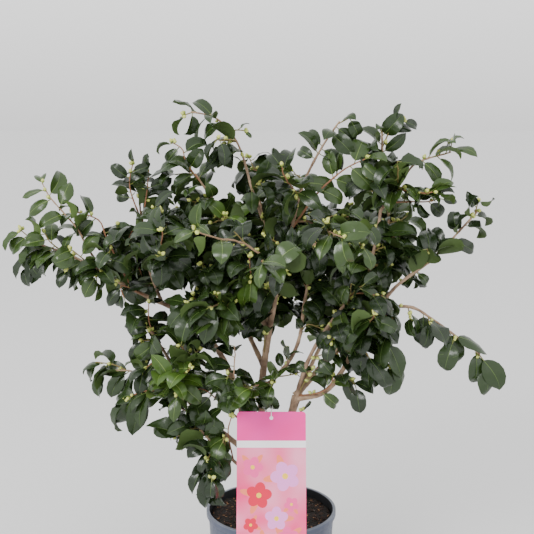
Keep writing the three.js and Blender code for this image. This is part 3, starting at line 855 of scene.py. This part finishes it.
def tube(pile, centres, radii, sides, slots=0):
    """Lays a closed tube along the centres."""
    turns = np.linspace(0, 2 * math.pi, sides, endpoint=False)
    rings = []
    for centre, radius, (across, upward) in zip(centres, radii, cross_frames(centres)):
        rings.append(centre + radius * (np.outer(np.cos(turns), across) + np.outer(np.sin(turns), upward)))
    count = len(centres)
    last = (count - 1) * sides
    faces = []
    for side in range(sides):
        after = (side + 1) % sides
        for ring in range(0, last, sides):
            faces.append((ring + side, ring + after, ring + after + sides, ring + side + sides))
        faces.append((count * sides, after, side))
        faces.append((count * sides + 1, last + side, last + after))
    pile.add(np.concatenate([*rings, centres[:1], centres[-1:]]), faces, slots)


def mass_surface(name):
    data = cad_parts[name].data
    points = [v.co.copy() for v in data.vertices]
    return BVHTree.FromPolygons(points, [tuple(f.vertices) for f in data.polygons])


surfaces = {name: mass_surface(name) for name in MASSES}
boxes = {name: tuple(np.array(corner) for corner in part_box(name)) for name in MASSES}


def depth_in(name, spot):
    """How deep a point lies under the surface of a mass; less than nothing outside it."""
    near, normal, _, distance = surfaces[name].find_nearest(Vector(spot))
    return math.copysign(distance, (near - Vector(spot)).dot(normal))


def depth_in_crown(spot, reach=0.05):
    """The same for the crown: the deepest of the masses whose boxes come within reach."""
    deepest = -1.0
    for name in MASSES:
        low, high = boxes[name]
        if np.all(spot > low - reach) and np.all(spot < high + reach):
            deepest = max(deepest, depth_in(name, spot))
    return deepest


class Skeleton:
    """Every joint of the plant's wood: its place, heading, parent and way back to the root."""

    def __init__(self):
        self.places = []
        self.headings = []
        self.parents = []
        self.path = []
        self.bears = []
        self.limb_radius = []

    def add(self, place, heading, parent, bears, radius=0.0):
        walked = np.linalg.norm(place - self.places[parent]) if parent >= 0 else 0
        self.path.append((self.path[parent] if parent >= 0 else 0) + walked)
        self.places.append(place)
        self.headings.append(heading)
        self.parents.append(parent)
        self.bears.append(bears)
        self.limb_radius.append(radius)
        return len(self.places) - 1

    def grow(self, route, parent, bears):
        """Adds a joint at each point after the first and returns them all."""
        joints = []
        for before, place in zip(route, route[1:]):
            parent = self.add(place, unit(place - before), parent, bears)
            joints.append(parent)
        return joints

    def way_back(self, joint, reach):
        """The joints from this one back towards the root, for as far as the reach goes."""
        chain = [joint]
        while self.parents[chain[-1]] >= 0 and self.path[joint] - self.path[chain[-1]] < reach:
            chain.append(self.parents[chain[-1]])
        return chain


TWIG_STEP = 7 * MM
LIMB_SKIP = 3
wood = Skeleton()
limb_joints = {}
for name, route in routes.items():
    girth = limb_radii(name)
    previous = -1
    limb_joints[name] = []
    for index in range(0, len(route), LIMB_SKIP):
        ahead = unit(route[min(index + 3, len(route) - 1)] - route[max(index - 3, 0)])
        previous = wood.add(route[index], ahead, previous, index > 6, girth[index])
        limb_joints[name].append(previous)
limb_count = len(wood.places)

sprig_ends = []
for name, share, points, *_ in SPRIGS:
    root = limb_joints[name][round(share * (len(limb_joints[name]) - 1))]
    route = smooth_route([wood.places[root], *(np.array(point) * MM for point in points)], TWIG_STEP)
    sprig_ends.append(wood.grow(route, root, False)[-1])

HAND_ROUTED = ("right_drop", "right_hem", "right_peak", "right_tip", "right_spray", "top_left_tip",
               "top_middle", "left_foot", "left_hang")
HEART = np.array((-10, 80, 620)) * MM
HEART_HALF = np.array((200, 130, 80)) * MM
HEART_SPACING = 37 * MM
SHOOT_SPACING = 34 * MM
SPRIG_ROOM = 28 * MM
HIGH = 0.73
OPEN_TOP = 0.42
THIN_SIDES = 0.19
CLOSER_SIDES = 0.9
FAR_FRONT = 0.1
OPEN_FRONT = 1.25
SKIN_DEPTH = 20 * MM
CORE_DEPTH = 44 * MM
CORE_SHARE = 0.12


def shoot_tips():
    """Random places, evenly apart, for the ends of shoots: under each mass's surface, then
    in the heart of the crown between the masses."""
    draw = np.random.default_rng(21)
    tips = []
    sprig_wood = np.array(wood.places[limb_count:])
    for name in MASSES:
        if name.removeprefix("leaves_") in HAND_ROUTED:
            continue
        low, high = boxes[name]
        apart = SHOOT_SPACING * (1 + OPEN_TOP * (high[2] > HIGH))
        if abs(low[0] + high[0]) / 2 > THIN_SIDES:
            apart *= CLOSER_SIDES
        if (low[1] + high[1]) / 2 < -FAR_FRONT:
            apart *= OPEN_FRONT
        tries = int(30 * np.prod(high - low) / SHOOT_SPACING**3)
        spots = low + draw.random((tries, 3)) * (high - low)
        depths = np.array([depth_in(name, spot) for spot in spots])
        skin = min(SKIN_DEPTH, 0.45 * depths.max())
        for spot, depth in zip(spots, depths):
            if depth < skin or (depth > CORE_DEPTH and draw.random() > CORE_SHARE):
                continue
            if np.linalg.norm(sprig_wood - spot, axis=1).min() < SPRIG_ROOM:
                continue
            if tips and np.linalg.norm(np.array(tips) - spot, axis=1).min() < apart:
                continue
            tips.append(spot)
    for _ in range(int(240 * np.prod(HEART_HALF) / HEART_SPACING**3)):
        way = 2 * draw.random(3) - 1
        spot = HEART + HEART_HALF * way
        alone = np.linalg.norm(np.array(tips) - spot, axis=1).min() > HEART_SPACING
        if np.linalg.norm(way) < 1 and depth_in_crown(spot) < 0 and alone:
            tips.append(spot)
    return np.array(tips)


HEADING_WEIGHT = 0.55
PATH_WEIGHT = 0.04
SWING = 0.25
EASE = 0.9
WOBBLE = 0.5 * MM
BARE_END = 4


def join_shoot(tip, draw):
    """Grows a curved twig from the best joint to the tip and returns its last joint."""
    places = np.array(wood.places)
    gaps = tip - places
    reach = np.linalg.norm(gaps, axis=1)
    bend = 1 - np.sum(gaps * np.array(wood.headings), axis=1) / np.maximum(reach, 1e-6)
    cost = reach * (1 + HEADING_WEIGHT * bend) + PATH_WEIGHT * np.array(wood.path)
    cost[~np.array(wood.bears)] = 9
    root = int(np.argmin(cost))
    gap, length = gaps[root], reach[root]
    outward = unit(gap + (0, 0, SWING * length) + SWING * length * draw.normal(size=3))
    leave = unit(0.6 * wood.headings[root] + unit(gap)) * length * EASE
    arrive = outward * length * EASE
    route = [places[root]]
    for t in np.linspace(0, 1, max(2, round(length / TWIG_STEP)) + 1)[1:]:
        spot = between(t, places[root], tip, leave, arrive)
        route.append(spot + (0 if t == 1 else WOBBLE) * draw.normal(size=3))
    joints = wood.grow(route, root, True)
    for joint in joints[-BARE_END:]:
        wood.bears[joint] = False
    return joints[-1]


growth = np.random.default_rng(5)
tips = shoot_tips()
wooded = np.array(wood.places)
near_first = np.argsort([np.linalg.norm(wooded - tip, axis=1).min() for tip in tips])
shoot_ends = [join_shoot(tips[index], growth) for index in near_first]
covered = {name for name, share, *_ in SPRIGS if share == 1} | {"stem_left", "stem_centre"}
shoot_ends += [joints[-1] for name, joints in limb_joints.items() if name not in covered]

TIP_RADIUS = 0.95 * MM
TIP_TAPER = 0.007
PIPE_POWER = 2.6
TWIG_LIMIT = 2.6 * MM
TAN_FROM = 1.9 * MM
BROWN_FROM = 1.35 * MM
KNOBBLE = 0.12
joint_count = len(wood.places)
load = np.zeros(joint_count)
far = np.zeros(joint_count)
for joint in reversed(range(limb_count, joint_count)):
    load[joint] = max(load[joint], TIP_RADIUS**PIPE_POWER)
    parent = wood.parents[joint]
    load[parent] += load[joint]
    far[parent] = max(far[parent], far[joint] + wood.path[joint] - wood.path[parent])
girths = np.minimum(np.maximum(load ** (1 / PIPE_POWER), TIP_RADIUS + TIP_TAPER * far), TWIG_LIMIT)
places = np.array(wood.places)

children = {}
for joint in range(limb_count, joint_count):
    children.setdefault(wood.parents[joint], []).append(joint)
starts = [(parent, child) for parent, group in children.items() if parent < limb_count
          for child in group]
twig_pile = Pile()
while starts:
    parent, joint = starts.pop()
    chain = [parent, joint]
    while joint in children:
        group = sorted(children[joint], key=lambda child: -girths[child])
        starts.extend((joint, child) for child in group[1:])
        joint = group[0]
        chain.append(joint)
    thick = girths[chain]
    thick[0] = thick[1]
    thick = thick * (1 + KNOBBLE * np.sin(np.arange(len(chain)) * 2.4 + chain[0]))
    slot = 0 if thick[1] > TAN_FROM else 1 if thick[1] > BROWN_FROM else 2
    tube(twig_pile, places[chain], thick, 6, slot)
twigs = twig_pile.mesh("twigs", [
    grained("tan_twig", srgb(158, 128, 100), 0.75, 520.0, 0.5),
    grained("red_brown_twig", srgb(142, 98, 70), 0.7, 520.0, 0.4),
    grained("green_twig", srgb(126, 110, 62), 0.6, 520.0, 0.3),
])
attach(twigs, "root")


# ---- Leaves -------------------------------------------------------------------------------
# Thick evergreen blades, dark and glossy above and paler below, broad with a short drawn-out
# tip, folded a little along the midrib and bowed over. They stand in turn along each shoot.

STATIONS = np.array([0.0, 0.05, 0.16, 0.32, 0.5, 0.68, 0.83, 0.94, 1.0])
OUTLINE = np.array([0.0, 0.36, 0.74, 0.96, 1.0, 0.86, 0.56, 0.18, 0.0])
ROWS = len(STATIONS) - 2
RIB_HALF = 0.7 * MM
BLADE = 0.4 * MM
STALK = 6 * MM
BROADEST = 36 * MM
QUILT = 0.14


def leaf_faces():
    """Faces of one blade and their slots: 0 above, 1 below, 2 along the midrib."""
    faces, slots = [], []
    top = lambda row, column: 1 + row * 6 + column
    under = lambda row: 2 + ROWS * 6 + row
    tip = 1 + ROWS * 6
    for column in range(5):
        slot = 2 if column == 2 else 0
        faces.append((0, top(0, column + 1), top(0, column)))
        faces.append((tip, top(ROWS - 1, column), top(ROWS - 1, column + 1)))
        slots += [slot, slot]
        for row in range(ROWS - 1):
            faces.append((top(row, column), top(row, column + 1),
                          top(row + 1, column + 1), top(row + 1, column)))
            slots.append(slot)
    faces += [(0, top(0, 0), under(0)), (0, under(0), top(0, 5))]
    faces += [(tip, under(ROWS - 1), top(ROWS - 1, 0)), (tip, top(ROWS - 1, 5), under(ROWS - 1))]
    for row in range(ROWS - 1):
        faces.append((top(row, 0), top(row + 1, 0), under(row + 1), under(row)))
        faces.append((under(row), under(row + 1), top(row + 1, 5), top(row, 5)))
    return faces, slots + [1] * (4 + 2 * (ROWS - 1))


LEAF_FACES, LEAF_SLOTS = leaf_faces()


def leaf_points(draw, base, ahead, face, length, flat=0.0):
    """One blade from its base; how broad, folded, curled, bowed and wavy it is are drawn."""
    width = min(length * draw.uniform(0.46 + 0.08 * flat, 0.64 + 0.05 * flat), BROADEST)
    fold, curl = (1 - 0.5 * flat) * draw.uniform(0.1, 0.85), draw.uniform(0.05, 0.5)
    droop, twist = (1 - 0.35 * flat) * draw.uniform(0.4, 1.9), 0.38 * draw.normal()
    wave, phase = 0.12 * draw.normal(), draw.uniform(0, 2 * math.pi)
    hook, sweep = draw.uniform(0, 1.0), 0.07 * length * draw.normal()
    face = unit(face - ahead * np.dot(face, ahead))
    lead = 0.4 * droop
    ahead, face = (math.cos(lead) * ahead + math.sin(lead) * face,
                   math.cos(lead) * face - math.sin(lead) * ahead)
    side = np.cross(ahead, face)
    bow = droop * STATIONS**1.3 + hook * STATIONS**5
    run = np.concatenate([[0], np.diff(STATIONS)]) * length
    spine = base + np.cumsum(np.outer(run * np.cos(bow), ahead) - np.outer(run * np.sin(bow), face), axis=0)
    spine += np.outer(sweep * STATIONS**2, side)
    lift = np.outer(np.cos(bow), face) + np.outer(np.sin(bow), ahead)
    points = [spine[0]]
    below = []
    for row in range(1, ROWS + 1):
        half = width / 2 * OUTLINE[row]
        rib = min(RIB_HALF * (1.1 - STATIONS[row]), 0.4 * half) / half
        spread = np.array([-1, -0.55, -rib, rib, 0.55, 1])
        ripple = wave * np.sin(9 * STATIONS[row] + phase + 1.5 * np.sign(spread))
        ripple += QUILT * (row % 2) * (1 - np.abs(spread))
        rise = fold * np.abs(spread) - curl * spread**2 + ripple * np.abs(spread)
        turn = twist * STATIONS[row]
        across = math.cos(turn) * side + math.sin(turn) * lift[row]
        upward = math.cos(turn) * lift[row] - math.sin(turn) * side
        sink = np.array([0, 0, -0.3 * MM, -0.3 * MM, 0, 0])
        points.extend(spine[row] + np.outer(half * spread, across) + np.outer(half * rise + sink, upward))
        below.append(spine[row] - (BLADE + 0.3 * MM) * upward)
    return np.array([*points, spine[-1], *below])


UP = np.array((0, 0, 1.0))
FRONT = np.array((0, -1.0, 0))
unhung = np.array(hang.inverted())
POT_CLEAR = 4 * MM


def fouls(points):
    """True if a leaf would lie over or cut the card, or cut into the pot."""
    flat = points @ unhung[:3, :3].T + unhung[:3, 3]
    beside = np.abs(flat[:, 0]) < CARD_WIDTH / 2 + 1 * MM
    level = (flat[:, 2] < 3 * MM) & (flat[:, 2] > -CARD_LENGTH)
    in_front = flat[:, 1] < 2 * MM
    beyond_rim = np.hypot(points[:, 0], points[:, 1]) - RIM_RADIUS
    in_pot = (points[:, 2] < POT_HEIGHT + POT_CLEAR) & (beyond_rim < POT_CLEAR)
    return bool(np.any(beside & level & in_front) or np.any(in_pot))


TINTS = ("deep", "dark", "middle", "fresh")
TINT_SHARES = (0.36, 0.38, 0.22, 0.04)
leaf_piles = {tint: Pile() for tint in TINTS}
stalk_pile = Pile()


def set_leaf(draw, foot, ahead, face, length, tint, flat=0.0):
    """A blade on its short stalk, unless it would foul something."""
    base = foot + ahead * STALK
    points = leaf_points(draw, base, ahead, face, length, flat)
    if fouls(points):
        return
    leaf_piles[tint].add(points, LEAF_FACES, LEAF_SLOTS)
    reach = unit(points[1:7].mean(axis=0) - base)
    centres = np.array([foot, 0.5 * (foot + base), base + reach * 1 * MM])
    tube(stalk_pile, centres, np.array([1.0, 0.8, 0.8]) * MM, 4)


def crown_centre(spot):
    """The point inside the crown that a leaf turns its back to."""
    return np.array((0.5 * spot[0], 0.12 + 0.25 * spot[1], 0.5 * spot[2] + 0.2))


WELL_PLACED = 9 * MM
TOO_FAR_OUT = 24 * MM


def grow_leaf(draw, foot, axis, turn, hanging, length, tint):
    """Tries a few ways out to one side and down, and keeps one whose tip stays in the crown."""
    across = unit(np.cross(axis, (0.2, 0.3, 0.93)))
    upward = np.cross(across, axis)
    best, deepest = None, -9
    for attempt in range(5):
        out = math.cos(turn) * across + math.sin(turn) * upward
        down = (hanging + 0.12 * attempt) * UP
        heading = unit(0.5 * axis + 0.85 * out - down + 0.22 * draw.normal(size=3))
        depth = depth_in_crown(foot + heading * (length + STALK))
        if depth > deepest:
            best, deepest = heading, depth
        if depth > -WELL_PLACED:
            break
        turn += 1.3
    if deepest > -TOO_FAR_OUT:
        outward = unit(foot - crown_centre(foot))
        face = UP + 0.4 * outward + 0.15 * FRONT + 0.5 * draw.normal(size=3)
        set_leaf(draw, foot, best, unit(face), length, tint)


def way_to_tip(end, stretch):
    """The places from a shoot's tip back along it, and how far each is from the tip."""
    chain = wood.way_back(end, stretch)
    return places[chain], wood.path[end] - np.array([wood.path[joint] for joint in chain])


def on_shoot(walk, walked, reach):
    """The place so far back from a shoot's tip, and the shoot's heading there."""
    foot = np.array([np.interp(reach, walked, walk[:, k]) for k in range(3)])
    index = min(max(int(np.searchsorted(walked, reach)), 1), len(walk) - 1)
    return foot, unit(walk[index - 1] - walk[index])


def grown(draw, length, number):
    """The length of a shoot's leaf: the first two from its tip are smaller."""
    return length * (0.78 + 0.22 * min(1, number / 2)) * draw.uniform(0.85, 1.15)


LEAF_PLACES = (0, 7, 18, 32, 47, 64)
LEAF_LENGTH = 53 * MM
LEAF_TURN = math.radians(144)
SHOOT_STRETCH = 85 * MM


def dress_shoot(draw, end):
    """Leaves stand in turn along the last stretch of a shoot, larger further from its tip."""
    walk, walked = way_to_tip(end, SHOOT_STRETCH)
    tint = TINTS[draw.choice(len(TINTS), p=TINT_SHARES)]
    turn = draw.uniform(0, 2 * math.pi)
    hanging = draw.uniform(0.05, 0.85)
    vigour = draw.uniform(0.84, 1.08)
    for number, back in enumerate(LEAF_PLACES):
        reach = back * MM * draw.uniform(0.9, 1.1)
        if reach > walked[-1]:
            break
        foot, axis = on_shoot(walk, walked, reach)
        length = grown(draw, LEAF_LENGTH * vigour, number)
        turn += LEAF_TURN
        grow_leaf(draw, foot, axis, turn, hanging, length, tint)


SPRIG_GAP = 11 * MM
SPRIG_SIZE = 1.08 * MM
SPRIG_STRETCH = 200 * MM


def dress_sprig(draw, end, count, length, hanging, opened):
    """Leaves of a sprig whose route is listed: one ahead at its tip, the rest to either side."""
    walk, walked = way_to_tip(end, SPRIG_STRETCH)
    tint = TINTS[draw.choice(len(TINTS), p=TINT_SHARES)]
    hand = draw.choice((-1, 1))
    for number in range(count):
        reach = SPRIG_GAP * number * draw.uniform(0.8, 1.2)
        foot, axis = on_shoot(walk, walked, reach)
        hand = -hand
        aside = hand * unit(np.cross(axis, FRONT))
        out = aside * (0.2 if number == 0 else draw.uniform(0.4, 1.1)) + draw.uniform(-0.6, 0.6) * FRONT
        heading = unit(0.7 * axis + out - hanging * draw.uniform(0.5, 1.4) * UP)
        turned = opened * draw.uniform(0.4, 1.1)
        face = turned * FRONT + (1.1 - turned) * (UP + 0.7 * aside) + 0.25 * draw.normal(size=3)
        size = SPRIG_SIZE * grown(draw, length, number)
        set_leaf(draw, foot, heading, unit(face), size, tint, max(0, opened - 0.8) * 5)


foliage = np.random.default_rng(31)
for end, (*_, count, length, hanging, opened) in zip(sprig_ends, SPRIGS):
    dress_sprig(foliage, end, count, length, hanging, opened)
for end in shoot_ends:
    dress_shoot(foliage, end)


def leaf_material(name, colour, roughness, gloss):
    material = plain_material(name, colour, roughness)
    _, _, shader = new_nodes(material)
    shader.inputs["Specular IOR Level"].default_value = gloss
    bumped(material, blotches(material, 160.0, 2.0, 0.3, 0.7), 0.18, 0.001)
    return material


LEAF_COLOURS = {
    "deep": (srgb(26, 41, 17), srgb(62, 80, 38), srgb(62, 82, 36)),
    "dark": (srgb(37, 55, 22), srgb(70, 90, 43), srgb(76, 98, 44)),
    "middle": (srgb(52, 73, 29), srgb(82, 104, 50), srgb(96, 118, 54)),
    "fresh": (srgb(66, 92, 34), srgb(98, 120, 58), srgb(116, 140, 62)),
}
for tint, pile in leaf_piles.items():
    above, below, rib = LEAF_COLOURS[tint]
    blades = pile.mesh(f"leaves_{tint}_green", [
        leaf_material(f"leaf_{tint}_above", above, 0.27, 0.46),
        leaf_material(f"leaf_{tint}_below", below, 0.6, 0.3),
        leaf_material(f"leaf_{tint}_midrib", rib, 0.4, 0.4),
    ])
    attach(blades, "root")
    if tint == "dark":
        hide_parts(*MASSES)

stalks = stalk_pile.mesh("leaf_stalks", [grained("stalk_green", srgb(116, 122, 58), 0.5, 520.0, 0.3)])
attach(stalks, "root")


# ---- Flower buds --------------------------------------------------------------------------
# Plump unopened buds in small groups at the ends of shoots and in the leaf angles, wrapped in
# pale yellow-green scales that are greener at the foot.

BUD_PROFILE = ((0.0, 0.25), (0.12, 0.72), (0.38, 1.0), (0.62, 0.9), (0.84, 0.5))
BUD_SIDES = 7


def bud(pile, foot, ahead, length, width):
    """One closed bud, green at its foot and pale above."""
    across = unit(np.cross(ahead, (0.4, 0.5, 0.77)))
    upward = np.cross(ahead, across)
    turns = np.linspace(0, 2 * math.pi, BUD_SIDES, endpoint=False)
    points = [foot]
    for along, girth in BUD_PROFILE:
        spread = width / 2 * girth * (1 + 0.06 * np.cos(turns * 3))
        ring = foot + ahead * (length * along)
        out = np.outer(spread * np.cos(turns), across)
        points.extend(ring + out + np.outer(spread * np.sin(turns), upward))
    points.append(foot + ahead * length)
    last = 1 + (len(BUD_PROFILE) - 1) * BUD_SIDES
    faces, slots = [], []
    for side in range(BUD_SIDES):
        after = (side + 1) % BUD_SIDES
        faces += [(0, 1 + after, 1 + side), (last + side, last + after, len(points) - 1)]
        slots += [1, 0]
        for ring in range(1, last, BUD_SIDES):
            faces.append((ring + side, ring + after, ring + after + BUD_SIDES, ring + side + BUD_SIDES))
            slots.append(int(ring < 2 * BUD_SIDES))
    pile.add(points, faces, slots)


BUDS_AT_TIP = (0.26, 0.16, 0.24, 0.2, 0.14)
BUDS_IN_ANGLE = (0.66, 0.2, 0.14)
BUD_ANGLES = (14, 30, 48)
BUD_STRETCH = 70 * MM
BUD_LENGTHS = (6.5, 9.5)
BUD_GIRTHS = (0.66, 0.8)
bud_pile = Pile()


def bud_group(draw, foot, axis, shares):
    """None to a few buds at one place, by the shares that each number has."""
    for _ in range(draw.choice(len(shares), p=shares)):
        way = unit(axis + 0.8 * draw.normal(size=3) + 0.25 * UP)
        length = draw.uniform(*BUD_LENGTHS) * MM
        bud(bud_pile, foot + 1.4 * MM * way, way, length, length * draw.uniform(*BUD_GIRTHS))


budding = np.random.default_rng(41)
for end in [*sprig_ends, *shoot_ends]:
    axis = np.array(wood.headings[end])
    bud_group(budding, places[end], axis, BUDS_AT_TIP)
    chain = wood.way_back(end, BUD_STRETCH)
    for back in BUD_ANGLES:
        joint = chain[min(round(back * MM / TWIG_STEP), len(chain) - 1)]
        bud_group(budding, places[joint], axis, BUDS_IN_ANGLE)
buds = bud_pile.mesh("flower_buds", [
    grained("bud_scale_pale", srgb(198, 204, 110), 0.5, 420.0, 0.3),
    grained("bud_scale_green", srgb(146, 162, 72), 0.5, 420.0, 0.3),
])
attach(buds, "root")
